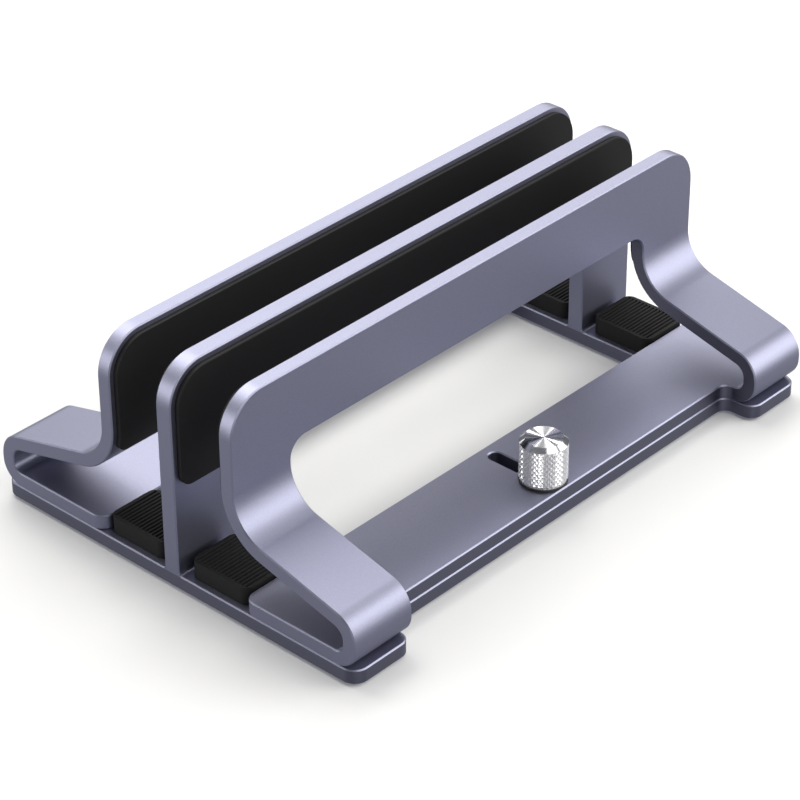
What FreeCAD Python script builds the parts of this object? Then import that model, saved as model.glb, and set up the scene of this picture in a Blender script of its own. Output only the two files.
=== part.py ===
# Vertical stand for two laptops, in anodised aluminium.
#
# A centre frame, made from one extrusion, carries two brackets that slide outwards
# to suit the laptop's thickness. A thumb screw through a slot in each bracket's foot
# clamps it. Silicone pads line both bays, and a laptop's edge rests on ribbed pads.
#
# Frame: X runs across the bays, Y along them, Z up. The origin is the middle of the
# surface that the stand rests on. Every size is in millimetres, every angle in degrees.
import FreeCAD, Part
import math
import os
import re

import Sketcher

# Driving dimensions
SIZES = {
    # whole stand
    "frame_length": 190.0,         # along the bays
    "frame_width": 134.4,          # across both bays
    "wall_top": 68.0,              # top of the walls, above the base plate's underside
    "leg_length": 21.6,            # each wall stands on a leg this long at either end
    "window_corner": 5.5,          # radius of the windows' upper corners
    "wall_corner": 12.0,           # radius of the walls' upper corners
    "edge_break": 0.35,            # small chamfer along the outer machined edges
    # base plate and centre wall
    "base_thickness": 4.5,
    "base_corner": 4.5,            # plan radius of the outer corners
    "strip_inner": 27.6,           # inner edge of the long strips, from the centre
    "recess_depth": 10.6,          # how far the long edges step back between the legs
    "recess_root": 3.2,            # plan radius where a long edge steps back
    "recess_shoulder": 4.0,        # plan radius at the end of a leg beside the step
    "opening_corner": 3.0,         # plan radius of the base opening's corners
    "centre_thickness": 5.4,
    "centre_root": 0.9,            # fillet between centre wall and base plate
    # brackets, at their innermost position
    "bracket_thickness": 4.5,
    "foot_corner": 4.0,            # plan radius of the foot's inner corners
    "curl_radius": 3.9,            # inside the curl that joins foot and arm
    "curl_flat": 0.4,              # flat foot left between the step's root and the curl
    "arm_slope": 14.3,             # rise of the arm towards the wall
    "bend_outer": 12.5,            # hollow side of the bend between arm and wall
    "bend_slot": 17.6,             # round side of that bend, facing the bay
    "bend_run": 0.4,               # straight wall between the bend and a window's corner
    "bracket_face": 20.3,          # the wall's bay side, from the centre
    # silicone pads on the walls
    "pad_thickness": 1.5,
    "pad_inset": 1.6,              # bare metal left round each pad
    "pad_bottom": 32.2,            # lower end of the pads, above the base's underside
    "pad_foot_corner": 4.0,        # radius of the pads' lower corners
    # ribbed rest pads
    "rest_inner": 5.0,             # near side of a rest pad, from the centre
    "rest_width": 21.4,
    "rest_length": 17.4,
    "rest_height": 5.5,
    "rest_corner": 2.8,
    "rest_gap": 0.4,               # free space between rest pad and bracket foot
    "rib_pitch": 1.3,
    "groove_width": 0.8,           # at the top of a groove
    "groove_floor": 0.3,           # at its bottom
    "groove_depth": 0.55,
    "rib_border": 1.1,             # plain border round the ribs
    # anti-slip feet
    "foot_stand": 0.8,             # their thickness, which holds the base off the table
    "foot_length": 34.0,
    "foot_width": 13.0,
    "foot_round": 2.9,             # plan radius of their corners
    "foot_margin": 5.2,            # from a foot to the base plate's side
    # thumb screws
    "stud_margin": 7.2,            # from a stud's axis to the long strip's outer edge
    "slot_land": 3.15,             # metal left between a slot and the bracket foot's edge
    "stud_radius": 1.95,
    "thread_fit": 0.05,            # radial clearance of stud and tapped hole
    "slot_fit": 0.2,               # radial clearance of stud and slot
    "stud_floor": 0.4,             # distance from the stud's end to the base's underside
    "washer_radius": 6.9,
    "washer_thickness": 0.8,
    "washer_fit": 0.15,            # radial clearance of stud and washer
    "knob_radius": 7.0,
    "knob_height": 13.1,
    "knob_bore": 7.0,              # depth of the stud's bore
    "bore_fit": 0.02,              # radial clearance of stud and bore
    "knob_chamfer": 1.0,
    "collar_height": 0.45,         # smooth band between chamfer and knurl
    "collar_inset": 0.1,           # how far that band lies inside the knurl
    "knurl_depth": 0.45,
    "knurl_count": 24,             # diamonds round the knob
    "knurl_rows": 7,               # diamonds up the knob
}

# Measures for finding faces and edges, which no size depends on
NEAR = 0.01                        # points closer than this are the same
PARALLEL = 0.999                   # cosine above which two directions agree
RIM_ANGLE = 30.0                   # corners sharper than this turn are broken
RIM_PROBE = 0.01                   # step off an edge that tells a rim from a root
PROBE_TOLERANCE = 0.001

doc = FreeCAD.newDocument("laptop_stand")
sheet = doc.addObject("Spreadsheet::Sheet", "Sizes")
for row, (alias, size) in enumerate(SIZES.items(), start=1):
    sheet.set("A%d" % row, alias.replace("_", " "))
    sheet.set("B%d" % row, str(size))
    sheet.setAlias("B%d" % row, alias)
doc.recompute()

# Places that several pieces share, as formulas of the driving dimensions
HALF_LENGTH = "(frame_length / 2)"
HALF_WIDTH = "(frame_width / 2)"
WINDOW_END = "(frame_length / 2 - leg_length)"
LEG_MIDDLE = "(frame_length / 2 - leg_length / 2)"
BASE_TOP = "(foot_stand + base_thickness)"
FOOT_TOP = "(foot_stand + base_thickness + bracket_thickness)"
WALL_TOP = "(foot_stand + wall_top)"
STRIP_OUTER = "(frame_width / 2 - recess_depth)"
FOOT_INNER = "(rest_inner + rest_width + rest_gap)"
STUD_X = f"({STRIP_OUTER} - stud_margin)"
CENTRE_FACE = "(centre_thickness / 2)"
THREAD_RADIUS = "(stud_radius + thread_fit)"
SLOT_RADIUS = "(stud_radius + slot_fit)"

# The bracket's section: a curl of two radii, a straight arm and a bend to the wall
SLOPE_SIN = "sin(arm_slope * 1 deg)"
SLOPE_COS = "cos(arm_slope * 1 deg)"
HEEL_X = f"({STRIP_OUTER} + recess_root + curl_flat)"
HEEL_OUTER = f"({HALF_WIDTH} - {HEEL_X})"
HEEL_INNER = f"({HEEL_OUTER} - bracket_thickness)"
CURL_OUTER = "(curl_radius + bracket_thickness)"
CURL_X = f"({HALF_WIDTH} - {CURL_OUTER})"
CURL_Z = f"({FOOT_TOP} + curl_radius)"
WALL_OUTER = "(bracket_face + bracket_thickness)"
HOLLOW_X = f"({WALL_OUTER} + bend_outer)"
HOLLOW_RISE = f"({CURL_OUTER} + bend_outer + ({CURL_X} - {HOLLOW_X}) * {SLOPE_SIN})"
HOLLOW_Z = f"({CURL_Z} + {HOLLOW_RISE} / {SLOPE_COS})"
ROUND_X = "(bracket_face + bend_slot)"
ROUND_RISE = f"(curl_radius + bend_slot + ({CURL_X} - {ROUND_X}) * {SLOPE_SIN})"
ROUND_Z = f"({CURL_Z} + {ROUND_RISE} / {SLOPE_COS})"
WINDOW_TOP = f"(max({HOLLOW_Z}; {ROUND_Z}) + bend_run + window_corner)"

CELL = re.compile(r"[a-z]+(?:_[a-z]+)+")
RIGHT = 0.0
LEFT = 180.0
TURNS = {"right": RIGHT, "left": LEFT}


def formula(text):
    """Point the names in a formula at the sheet's cells."""
    return CELL.sub(lambda found: "Sizes." + found[0], text)


def number(text):
    """Work a formula out."""
    return float(sheet.evalExpression(formula(text)))


def bind(target, **formulas):
    """Tie properties of an object to formulas."""
    for name, text in formulas.items():
        target.setExpression(name, formula(text))


def place(target, x="0", y="0", z="0", turn=RIGHT):
    """Set a sub-part down at a formula's place, turned about the vertical."""
    target.Placement.Rotation = FreeCAD.Rotation(FreeCAD.Vector(0, 0, 1), turn)
    for axis, text in (("x", x), ("y", y), ("z", z)):
        if text != "0":
            target.setExpression("Placement.Base." + axis, formula(text))


def new_body(name):
    """Start a sub-part whose label names its file."""
    body = doc.addObject("PartDesign::Body", name)
    body.Label = name
    return body


def new_sketch(body, name, plane, height="0"):
    """Lay a sketch on one of a body's origin planes, raised if asked."""
    sketch = body.newObject("Sketcher::SketchObject", body.Name + "_" + name)
    planes = [feature for feature in body.Origin.OriginFeatures if feature.Role == plane]
    sketch.AttachmentSupport = [(planes[0], "")]
    sketch.MapMode = "FlatFace"
    if height != "0":
        sketch.setExpression("AttachmentOffset.Base.z", formula(height))
    return sketch


def drive(sketch, kind, text, *where):
    """Add a dimension to a sketch and tie it to a formula."""
    index = sketch.addConstraint(Sketcher.Constraint(kind, *where, number(text)))
    sketch.setExpression("Constraints[%d]" % index, formula(text))


def locate(sketch, element, end, x, y):
    """Fix one point of a sketch by its two coordinates."""
    if x == "0":
        sketch.addConstraint(Sketcher.Constraint("PointOnObject", element, end, -2))
    else:
        drive(sketch, "DistanceX", x, -1, 1, element, end)
    if y == "0":
        sketch.addConstraint(Sketcher.Constraint("PointOnObject", element, end, -1))
    else:
        drive(sketch, "DistanceY", y, -1, 1, element, end)


def arc_between(start, finish, radius, leftward):
    """Make the short arc between two points; it curves left or right as it is walked."""
    chord = finish - start
    rise = math.sqrt(max(radius ** 2 - (chord.Length / 2) ** 2, 0.0))
    side = FreeCAD.Vector(-chord.y, chord.x, 0).normalize()
    centre = (start + finish) / 2 + side * (rise if leftward else -rise)
    first = math.atan2(start.y - centre.y, start.x - centre.x)
    last = math.atan2(finish.y - centre.y, finish.x - centre.x)
    circle = Part.Circle(centre, FreeCAD.Vector(0, 0, 1), radius)
    if leftward:
        return Part.ArcOfCircle(circle, first, last)
    return Part.ArcOfCircle(circle, last, first)


def draw_loop(sketch, path):
    """Draw a closed loop in a sketch.

    Each step of the path is the point it leads to, (x, y), for a straight line. An
    arc's step adds its radius and "left" or "right". A half turn is given its
    centre's x in place of the side, and curves left.
    """
    points = [FreeCAD.Vector(number(step[0]), number(step[1]), 0) for step in path]
    ends = []
    for index, step in enumerate(path):
        start = points[index - 1]
        finish = points[index]
        if len(step) == 2:
            element = sketch.addGeometry(Part.LineSegment(start, finish), False)
            ends.append((element, 1, 2))
            continue
        leftward = step[3] != "right"
        arc = arc_between(start, finish, number(step[2]), leftward)
        element = sketch.addGeometry(arc, False)
        ends.append((element, 1, 2) if leftward else (element, 2, 1))
    for index, step in enumerate(path):
        element, first, last = ends[index]
        before, _, before_last = ends[index - 1]
        sketch.addConstraint(Sketcher.Constraint("Coincident", before, before_last, element, first))
        locate(sketch, element, last, step[0], step[1])
        if len(step) == 4 and step[3] in ("left", "right"):
            drive(sketch, "Radius", step[2], element)
        elif len(step) == 4:
            drive(sketch, "DistanceX", step[3], -1, 1, element, 3)


def draw_circle(sketch, x, y, radius):
    """Draw a circle in a sketch."""
    middle = FreeCAD.Vector(number(x), number(y), 0)
    circle = Part.Circle(middle, FreeCAD.Vector(0, 0, 1), number(radius))
    element = sketch.addGeometry(circle, False)
    locate(sketch, element, 3, x, y)
    drive(sketch, "Radius", radius, element)


def rounded_box(low_x, low_y, high_x, high_y, radius):
    """Give the path of a rectangle with four round corners."""
    return [
        (f"{high_x} - {radius}", low_y),
        (high_x, f"{low_y} + {radius}", radius, "left"),
        (high_x, f"{high_y} - {radius}"),
        (f"{high_x} - {radius}", high_y, radius, "left"),
        (f"{low_x} + {radius}", high_y),
        (low_x, f"{high_y} - {radius}", radius, "left"),
        (low_x, f"{low_y} + {radius}"),
        (f"{low_x} + {radius}", low_y, radius, "left"),
    ]


def centred_box(width, length, radius):
    """Give the path of a rounded rectangle about the sketch's origin."""
    return rounded_box(f"-({width} / 2)", f"-({length} / 2)", f"({width} / 2)", f"({length} / 2)", radius)


def portal(half_length, top, corner, opening, opening_top, opening_corner, bottom):
    """Give the path of a wall on two legs, seen from the side."""
    return [
        (f"-{opening}", bottom),
        (f"-{opening}", f"{opening_top} - {opening_corner}"),
        (f"{opening_corner} - {opening}", opening_top, opening_corner, "right"),
        (f"{opening} - {opening_corner}", opening_top),
        (opening, f"{opening_top} - {opening_corner}", opening_corner, "right"),
        (opening, bottom),
        (half_length, bottom),
        (half_length, f"{top} - {corner}"),
        (f"{half_length} - {corner}", top, corner, "left"),
        (f"{corner} - {half_length}", top),
        (f"-{half_length}", f"{top} - {corner}", corner, "left"),
        (f"-{half_length}", bottom),
    ]


def pad_out(body, sketch, length, both_ways=False):
    """Raise a solid from a sketch."""
    pad = body.newObject("PartDesign::Pad", sketch.Name + "_pad")
    pad.Profile = sketch
    if both_ways:
        pad.SideType = "Symmetric"
    bind(pad, Length=length)
    doc.recompute()


def pocket_through(body, sketch):
    """Cut a sketch's outline right through a body, both ways."""
    before = body.Shape.Volume
    pocket = body.newObject("PartDesign::Pocket", sketch.Name + "_cut")
    pocket.Profile = sketch
    pocket.Type = "ThroughAll"
    pocket.SideType = "Symmetric"
    doc.recompute()
    check_cut(pocket, before)


def check_cut(pocket, before):
    """Stop if a cut took nothing away."""
    if pocket.Shape.Volume >= before:
        raise ValueError(pocket.Name + " cuts nothing")


def edge_names(shape, wanted):
    """Name the edges of a shape that pass a test."""
    return ["Edge%d" % index for index, edge in enumerate(shape.Edges, start=1) if wanted(edge)]


def middle_of(edge):
    """Give the point halfway along an edge."""
    return edge.valueAt((edge.FirstParameter + edge.LastParameter) / 2)


def runs_along(edge, axis):
    """Say whether an edge is a straight line along an axis: x, y or z."""
    if not isinstance(edge.Curve, Part.Line):
        return False
    direction = edge.tangentAt(edge.FirstParameter)
    return abs(getattr(direction, axis)) > PARALLEL


def round_edges(body, name, radius, wanted):
    """Fillet the edges that pass a test."""
    base = body.Tip
    fillet = body.newObject("PartDesign::Fillet", body.Name + "_" + name)
    fillet.Base = (base, edge_names(base.Shape, wanted))
    bind(fillet, Radius=radius)
    doc.recompute()


def outward_normal(face, point):
    """Give a face's outward direction at a point on it."""
    u, v = face.Surface.parameter(point)
    return face.normalAt(u, v)


def is_sharp_rim(shape, edge):
    """Say whether two faces meet at an edge in an outward corner."""
    faces = shape.ancestorsOfType(edge, Part.Face)
    if len(faces) != 2:
        return False
    point = middle_of(edge)
    one = outward_normal(faces[0], point)
    other = outward_normal(faces[1], point)
    if one.dot(other) > math.cos(math.radians(RIM_ANGLE)):
        return False
    probe = point + (one - other).normalize() * RIM_PROBE
    return not shape.isInside(probe, PROBE_TOLERANCE, False)


def break_edges(body, wanted):
    """Chamfer every outward corner that passes a test."""
    base = body.Tip
    chamfer = body.newObject("PartDesign::Chamfer", body.Name + "_edges")
    names = edge_names(base.Shape, lambda edge: wanted(edge) and is_sharp_rim(base.Shape, edge))
    chamfer.Base = (base, names)
    bind(chamfer, Size="edge_break")
    doc.recompute()


def make_centre_frame():
    """Base plate with its opening and stepped long edges, and the centre wall on it."""
    body = new_body("centre_frame")
    plan = new_sketch(body, "plan", "XY_Plane", "foot_stand")
    side = []
    for way in ("", "-"):
        out = f"{way}({HALF_WIDTH})"
        inner = f"{way}({HALF_WIDTH} - base_corner)"
        shoulder = f"{way}({HALF_WIDTH} - recess_shoulder)"
        root = f"{way}({STRIP_OUTER} + recess_root)"
        strip = f"{way}{STRIP_OUTER}"
        near = "-" if way == "" else ""
        far = "" if way == "" else "-"
        side += [
            (inner, f"{near}{HALF_LENGTH}"),
            (out, f"{near}({HALF_LENGTH} - base_corner)", "base_corner", "left"),
            (out, f"{near}({WINDOW_END} + recess_shoulder)"),
            (shoulder, f"{near}{WINDOW_END}", "recess_shoulder", "left"),
            (root, f"{near}{WINDOW_END}"),
            (strip, f"{near}({WINDOW_END} - recess_root)", "recess_root", "right"),
            (strip, f"{far}({WINDOW_END} - recess_root)"),
            (root, f"{far}{WINDOW_END}", "recess_root", "right"),
            (shoulder, f"{far}{WINDOW_END}"),
            (out, f"{far}({WINDOW_END} + recess_shoulder)", "recess_shoulder", "left"),
            (out, f"{far}({HALF_LENGTH} - base_corner)"),
            (inner, f"{far}{HALF_LENGTH}", "base_corner", "left"),
        ]
    draw_loop(plan, side)
    opening = rounded_box("-strip_inner", f"-{WINDOW_END}", "strip_inner", WINDOW_END, "opening_corner")
    draw_loop(plan, opening)
    pad_out(body, plan, "base_thickness")

    wall = new_sketch(body, "wall", "YZ_Plane")
    draw_loop(wall, portal(
        HALF_LENGTH, WALL_TOP, "wall_corner", WINDOW_END, WINDOW_TOP, "window_corner", BASE_TOP))
    pad_out(body, wall, "centre_thickness", both_ways=True)

    top = number(BASE_TOP)
    face = number(CENTRE_FACE)

    def at_wall_root(edge):
        point = middle_of(edge)
        return runs_along(edge, "y") and abs(abs(point.x) - face) < NEAR and abs(point.z - top) < NEAR

    round_edges(body, "root", "centre_root", at_wall_root)

    holes = new_sketch(body, "holes", "XY_Plane")
    draw_circle(holes, STUD_X, "0", THREAD_RADIUS)
    draw_circle(holes, f"-{STUD_X}", "0", THREAD_RADIUS)
    pocket_through(body, holes)

    hole_x = number(STUD_X)
    hole_reach = number(THREAD_RADIUS) + NEAR
    underside = number("foot_stand")

    def clear_of_holes_and_underside(edge):
        point = middle_of(edge)
        at_hole = math.hypot(abs(point.x) - hole_x, point.y) < hole_reach
        return point.z > underside + NEAR and not at_hole

    break_edges(body, clear_of_holes_and_underside)
    return body


def make_bracket(side):
    """Extruded bracket: foot, curl, arm, bend and wall, milled open in the middle."""
    body = new_body(side + "_bracket")
    section = new_sketch(body, "section", "XZ_Plane")
    draw_loop(section, [
        (HEEL_X, BASE_TOP),
        (HALF_WIDTH, f"{BASE_TOP} + {HEEL_OUTER}", HEEL_OUTER, "left"),
        (HALF_WIDTH, CURL_Z),
        (f"{CURL_X} + {CURL_OUTER} * {SLOPE_SIN}", f"{CURL_Z} + {CURL_OUTER} * {SLOPE_COS}",
         CURL_OUTER, "left"),
        (f"{HOLLOW_X} - bend_outer * {SLOPE_SIN}", f"{HOLLOW_Z} - bend_outer * {SLOPE_COS}"),
        (WALL_OUTER, HOLLOW_Z, "bend_outer", "right"),
        (WALL_OUTER, WALL_TOP),
        ("bracket_face", WALL_TOP),
        ("bracket_face", ROUND_Z),
        (f"{ROUND_X} - bend_slot * {SLOPE_SIN}", f"{ROUND_Z} - bend_slot * {SLOPE_COS}",
         "bend_slot", "left"),
        (f"{CURL_X} + curl_radius * {SLOPE_SIN}", f"{CURL_Z} + curl_radius * {SLOPE_COS}"),
        (f"{HALF_WIDTH} - bracket_thickness", CURL_Z, "curl_radius", "right"),
        (f"{HALF_WIDTH} - bracket_thickness", f"{FOOT_TOP} + {HEEL_INNER}"),
        (HEEL_X, FOOT_TOP, HEEL_INNER, "right"),
        (FOOT_INNER, FOOT_TOP),
        (FOOT_INNER, BASE_TOP),
    ])
    pad_out(body, section, "frame_length", both_ways=True)

    top = number(WALL_TOP)
    end = number(HALF_LENGTH)
    foot_inner = number(FOOT_INNER)
    strip_edge = number(STRIP_OUTER) - NEAR

    def at_wall_corner(edge):
        point = middle_of(edge)
        return runs_along(edge, "x") and abs(abs(point.y) - end) < NEAR and abs(point.z - top) < NEAR

    def at_foot_corner(edge):
        point = middle_of(edge)
        at_end = abs(abs(point.y) - end) < NEAR
        return runs_along(edge, "z") and at_end and abs(point.x - foot_inner) < NEAR

    round_edges(body, "wall_corners", "wall_corner", at_wall_corner)
    round_edges(body, "foot_corners", "foot_corner", at_foot_corner)

    window = new_sketch(body, "window", "YZ_Plane")
    draw_loop(window, [
        (WINDOW_END, FOOT_TOP),
        (WINDOW_END, f"{WINDOW_TOP} - window_corner"),
        (f"{WINDOW_END} - window_corner", WINDOW_TOP, "window_corner", "left"),
        (f"window_corner - {WINDOW_END}", WINDOW_TOP),
        (f"-{WINDOW_END}", f"{WINDOW_TOP} - window_corner", "window_corner", "left"),
        (f"-{WINDOW_END}", FOOT_TOP),
    ])
    pocket_through(body, window)

    recess = new_sketch(body, "recess", "XY_Plane")
    draw_loop(recess, [
        ("frame_width", f"-{WINDOW_END}"),
        ("frame_width", WINDOW_END),
        (f"{STRIP_OUTER} + recess_root", WINDOW_END),
        (STRIP_OUTER, f"{WINDOW_END} - recess_root", "recess_root", "left"),
        (STRIP_OUTER, f"recess_root - {WINDOW_END}"),
        (f"{STRIP_OUTER} + recess_root", f"-{WINDOW_END}", "recess_root", "left"),
    ])
    pocket_through(body, recess)

    slot = new_sketch(body, "slot", "XY_Plane")
    slot_inner = f"({FOOT_INNER} + slot_land + {SLOT_RADIUS})"
    draw_loop(slot, [
        (STUD_X, f"-{SLOT_RADIUS}"),
        (STUD_X, SLOT_RADIUS, SLOT_RADIUS, STUD_X),
        (slot_inner, SLOT_RADIUS),
        (slot_inner, f"-{SLOT_RADIUS}", SLOT_RADIUS, slot_inner),
    ])
    pocket_through(body, slot)
    underside = number(BASE_TOP) + NEAR
    foot_top = number(FOOT_TOP) + NEAR
    window_top = number(WINDOW_TOP) + NEAR
    window_end = number(WINDOW_END) + NEAR
    slot_reach = number(SLOT_RADIUS) + NEAR

    def clear_of_slot_foot_and_window(edge):
        point = middle_of(edge)
        at_slot_foot = point.z < underside and abs(point.y) < slot_reach and point.x < strip_edge
        in_window = point.x > strip_edge or foot_top < point.z < window_top
        return not at_slot_foot and not (in_window and abs(point.y) < window_end)

    break_edges(body, clear_of_slot_foot_and_window)
    place(body, turn=TURNS[side])
    return body


def make_bracket_pad(side):
    """Silicone lining of a bracket's wall; its legs follow the start of the bend."""
    body = new_body(side + "_bracket_pad")
    section = new_sketch(body, "section", "XZ_Plane")
    bottom = "(foot_stand + pad_bottom)"
    outer = "(bend_slot + pad_thickness)"
    drop = f"({ROUND_Z} - {bottom})"
    top = f"({WALL_TOP} - pad_inset)"
    draw_loop(section, [
        ("bracket_face", top),
        ("bracket_face - pad_thickness", top),
        ("bracket_face - pad_thickness", ROUND_Z),
        (f"{ROUND_X} - sqrt({outer} ^ 2 - {drop} ^ 2)", bottom, outer, "left"),
        (f"{ROUND_X} - sqrt(bend_slot ^ 2 - {drop} ^ 2)", bottom),
        ("bracket_face", ROUND_Z, "bend_slot", "right"),
    ])
    pad_out(body, section, "frame_length - 2 * pad_inset", both_ways=True)
    trim_pad(body, number(bottom), number(top))
    place(body, turn=TURNS[side])
    return body


def make_centre_pad(side):
    """Silicone lining of one side of the centre wall."""
    body = new_body("centre_pad_" + side)
    section = new_sketch(body, "section", "XZ_Plane")
    bottom = "(foot_stand + pad_bottom)"
    top = f"({WALL_TOP} - pad_inset)"
    draw_loop(section, [
        (f"{CENTRE_FACE} + pad_thickness", bottom),
        (f"{CENTRE_FACE} + pad_thickness", top),
        (CENTRE_FACE, top),
        (CENTRE_FACE, bottom),
    ])
    pad_out(body, section, "frame_length - 2 * pad_inset", both_ways=True)
    trim_pad(body, number(bottom), number(top))
    place(body, turn=TURNS[side])
    return body


def trim_pad(body, bottom, top):
    """Cut a wall pad to the wall's outline and round its corners."""
    window = new_sketch(body, "window", "YZ_Plane")
    opening = f"({WINDOW_END} + pad_inset)"
    corner = "(window_corner + pad_inset)"
    opening_top = f"({WINDOW_TOP} + pad_inset)"
    draw_loop(window, [
        (opening, "0"),
        (opening, f"{opening_top} - {corner}"),
        (f"{opening} - {corner}", opening_top, corner, "left"),
        (f"{corner} - {opening}", opening_top),
        (f"-{opening}", f"{opening_top} - {corner}", corner, "left"),
        (f"-{opening}", "0"),
    ])
    pocket_through(body, window)
    end = number(f"{HALF_LENGTH} - pad_inset")
    inner_end = number(opening)

    def at_top_corner(edge):
        point = middle_of(edge)
        return runs_along(edge, "x") and abs(abs(point.y) - end) < NEAR and abs(point.z - top) < NEAR

    def at_leg_corner(edge):
        point = middle_of(edge)
        at_end = min(abs(abs(point.y) - end), abs(abs(point.y) - inner_end)) < NEAR
        return runs_along(edge, "x") and at_end and abs(point.z - bottom) < NEAR

    round_edges(body, "top_corners", "wall_corner - pad_inset", at_top_corner)
    round_edges(body, "leg_corners", "pad_foot_corner", at_leg_corner)


def make_rest_pad(name, way_x, way_y):
    """Ribbed rubber block that a laptop's edge stands on."""
    body = new_body(name)
    plan = new_sketch(body, "plan", "XY_Plane")
    draw_loop(plan, centred_box("rest_width", "rest_length", "rest_corner"))
    pad_out(body, plan, "rest_height")

    groove = new_sketch(body, "groove", "XZ_Plane")
    further = "floor((rest_width - 2 * rib_border - groove_width) / rib_pitch)"
    first = f"-({further} * rib_pitch / 2)"
    draw_loop(groove, [
        (f"{first} - groove_floor / 2", "rest_height - groove_depth"),
        (f"{first} + groove_floor / 2", "rest_height - groove_depth"),
        (f"{first} + groove_width / 2", "rest_height"),
        (f"{first} - groove_width / 2", "rest_height"),
    ])
    before = body.Shape.Volume
    cut = body.newObject("PartDesign::Pocket", name + "_groove_cut")
    cut.Profile = groove
    cut.SideType = "Symmetric"
    bind(cut, Length="rest_length - 2 * rib_border")
    doc.recompute()
    check_cut(cut, before)

    ribs = body.newObject("PartDesign::LinearPattern", name + "_ribs")
    across = [feature for feature in body.Origin.OriginFeatures if feature.Role == "X_Axis"]
    ribs.Originals = [cut]
    ribs.Direction = (across[0], [""])
    ribs.Mode = "Spacing"
    bind(ribs, Offset="rib_pitch", Occurrences=f"{further} + 1")
    body.Tip = ribs
    doc.recompute()
    place(body, x=f"{way_x}(rest_inner + rest_width / 2)", y=way_y + LEG_MIDDLE, z=BASE_TOP)
    return body


def make_foot(name, way_x, way_y):
    """Anti-slip foot, stuck to the underside of an end strip."""
    body = new_body(name)
    plan = new_sketch(body, "plan", "XY_Plane")
    draw_loop(plan, centred_box("foot_length", "foot_width", "foot_round"))
    pad_out(body, plan, "foot_stand")
    place(body, x=f"{way_x}({HALF_WIDTH} - foot_margin - foot_length / 2)", y=way_y + LEG_MIDDLE)
    return body


def make_stud(side, way_x):
    """Threaded stud of a thumb screw, drawn plain at its outer diameter."""
    body = new_body(side + "_stud")
    plan = new_sketch(body, "plan", "XY_Plane")
    draw_circle(plan, "0", "0", "stud_radius")
    pad_out(body, plan, f"{FOOT_TOP} + washer_thickness + knob_bore - foot_stand - stud_floor")
    place(body, x=way_x + STUD_X, z="foot_stand + stud_floor")
    return body


def make_washer(side, way_x):
    """Thin black washer between knob and bracket foot."""
    body = new_body(side + "_washer")
    plan = new_sketch(body, "plan", "XY_Plane")
    draw_circle(plan, "0", "0", "washer_radius")
    draw_circle(plan, "0", "0", "(stud_radius + washer_fit)")
    pad_out(body, plan, "washer_thickness")
    place(body, x=way_x + STUD_X, z=FOOT_TOP)
    return body


def knurled_solid(radius, depth, height, count, rows):
    """Make a solid whose side is covered with four-sided pyramids, point outwards.

    Two families of grooves cross at the inner radius. On a grid of half steps round
    and up, every even place is a pyramid's point and every odd one a crossing. The
    grooves run out at both ends, so the end faces are plain polygons.
    """
    steps_round = 2 * count
    steps_up = 2 * rows

    def grid_point(column, level):
        is_point = (column + level) % 2 == 0 and 0 < level < steps_up
        reach = radius if is_point else radius - depth
        angle = math.pi * column / count
        return FreeCAD.Vector(reach * math.cos(angle), reach * math.sin(angle), level * height / steps_up)

    faces = []
    for level in range(steps_up + 1):
        for column in range(level % 2, steps_round, 2):
            point = grid_point(column, level)
            for aside in (-1, 1):
                for above in (-1, 1):
                    if not 0 <= level + above <= steps_up:
                        continue
                    beside = grid_point(column + aside, level)
                    over = grid_point(column, level + above)
                    faces.append(Part.Face(Part.makePolygon([point, beside, over, point])))
    for level in (0, steps_up):
        ring = [grid_point(column, level) for column in range(steps_round)]
        faces.append(Part.Face(Part.makePolygon(ring + [ring[0]])))
    shell = Part.Shell(faces)
    shell.sewShape()
    solid = Part.Solid(shell)
    if solid.Volume < 0:
        solid.reverse()
    return solid


def make_part(kind, name, **formulas):
    """Add a primitive and tie its sizes to formulas."""
    primitive = doc.addObject(kind, name)
    bind(primitive, **formulas)
    return primitive


def make_knob(side, way_x):
    """Thumb screw head: knurled side, smooth collar and a chamfered flat top."""
    collar_base = "(knob_height - knob_chamfer - collar_height)"
    knurl = doc.addObject("Part::Feature", side + "_knurl")
    knurl.Shape = knurled_solid(
        number("knob_radius"),
        number("knurl_depth"),
        number(collar_base),
        round(number("knurl_count")),
        round(number("knurl_rows")),
    )
    band = "knob_radius - collar_inset"
    rim = f"{band} - knob_chamfer"
    collar = make_part("Part::Cylinder", side + "_collar", Radius=band, Height="collar_height")
    place(collar, z=collar_base)
    crown = make_part(
        "Part::Cone", side + "_crown", Radius1=band, Radius2=rim, Height="knob_chamfer")
    place(crown, z="knob_height - knob_chamfer")
    blank = doc.addObject("Part::MultiFuse", side + "_blank")
    blank.Shapes = [knurl, collar, crown]
    bore = make_part(
        "Part::Cylinder", side + "_bore", Radius="stud_radius + bore_fit", Height="knob_bore")
    knob = doc.addObject("Part::Cut", side + "_knob")
    knob.Base = blank
    knob.Tool = bore
    doc.recompute()
    place(knob, x=way_x + STUD_X, z=f"{FOOT_TOP} + washer_thickness")
    return knob


# Build every sub-part
parts = [make_centre_frame()]
for side, way in (("left", "-"), ("right", "")):
    parts.append(make_bracket(side))
    parts.append(make_bracket_pad(side))
    parts.append(make_centre_pad(side))
    parts.append(make_stud(side, way))
    parts.append(make_washer(side, way))
    parts.append(make_knob(side, way))
    for end, way_y in (("front", "-"), ("back", "")):
        parts.append(make_rest_pad(f"{side}_{end}_rest_pad", way, way_y))
        parts.append(make_foot(f"{side}_{end}_foot", way, way_y))
doc.recompute()

# Check the whole document before anything is written
for feature in doc.Objects:
    if "Invalid" in feature.State or "Error" in feature.State:
        raise ValueError(feature.Name + " failed: " + ", ".join(feature.State))
for part in parts:
    if part.Shape.isNull() or not part.Shape.isValid() or len(part.Shape.Solids) != 1:
        raise ValueError(part.Label + " isn't one valid solid")

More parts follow.
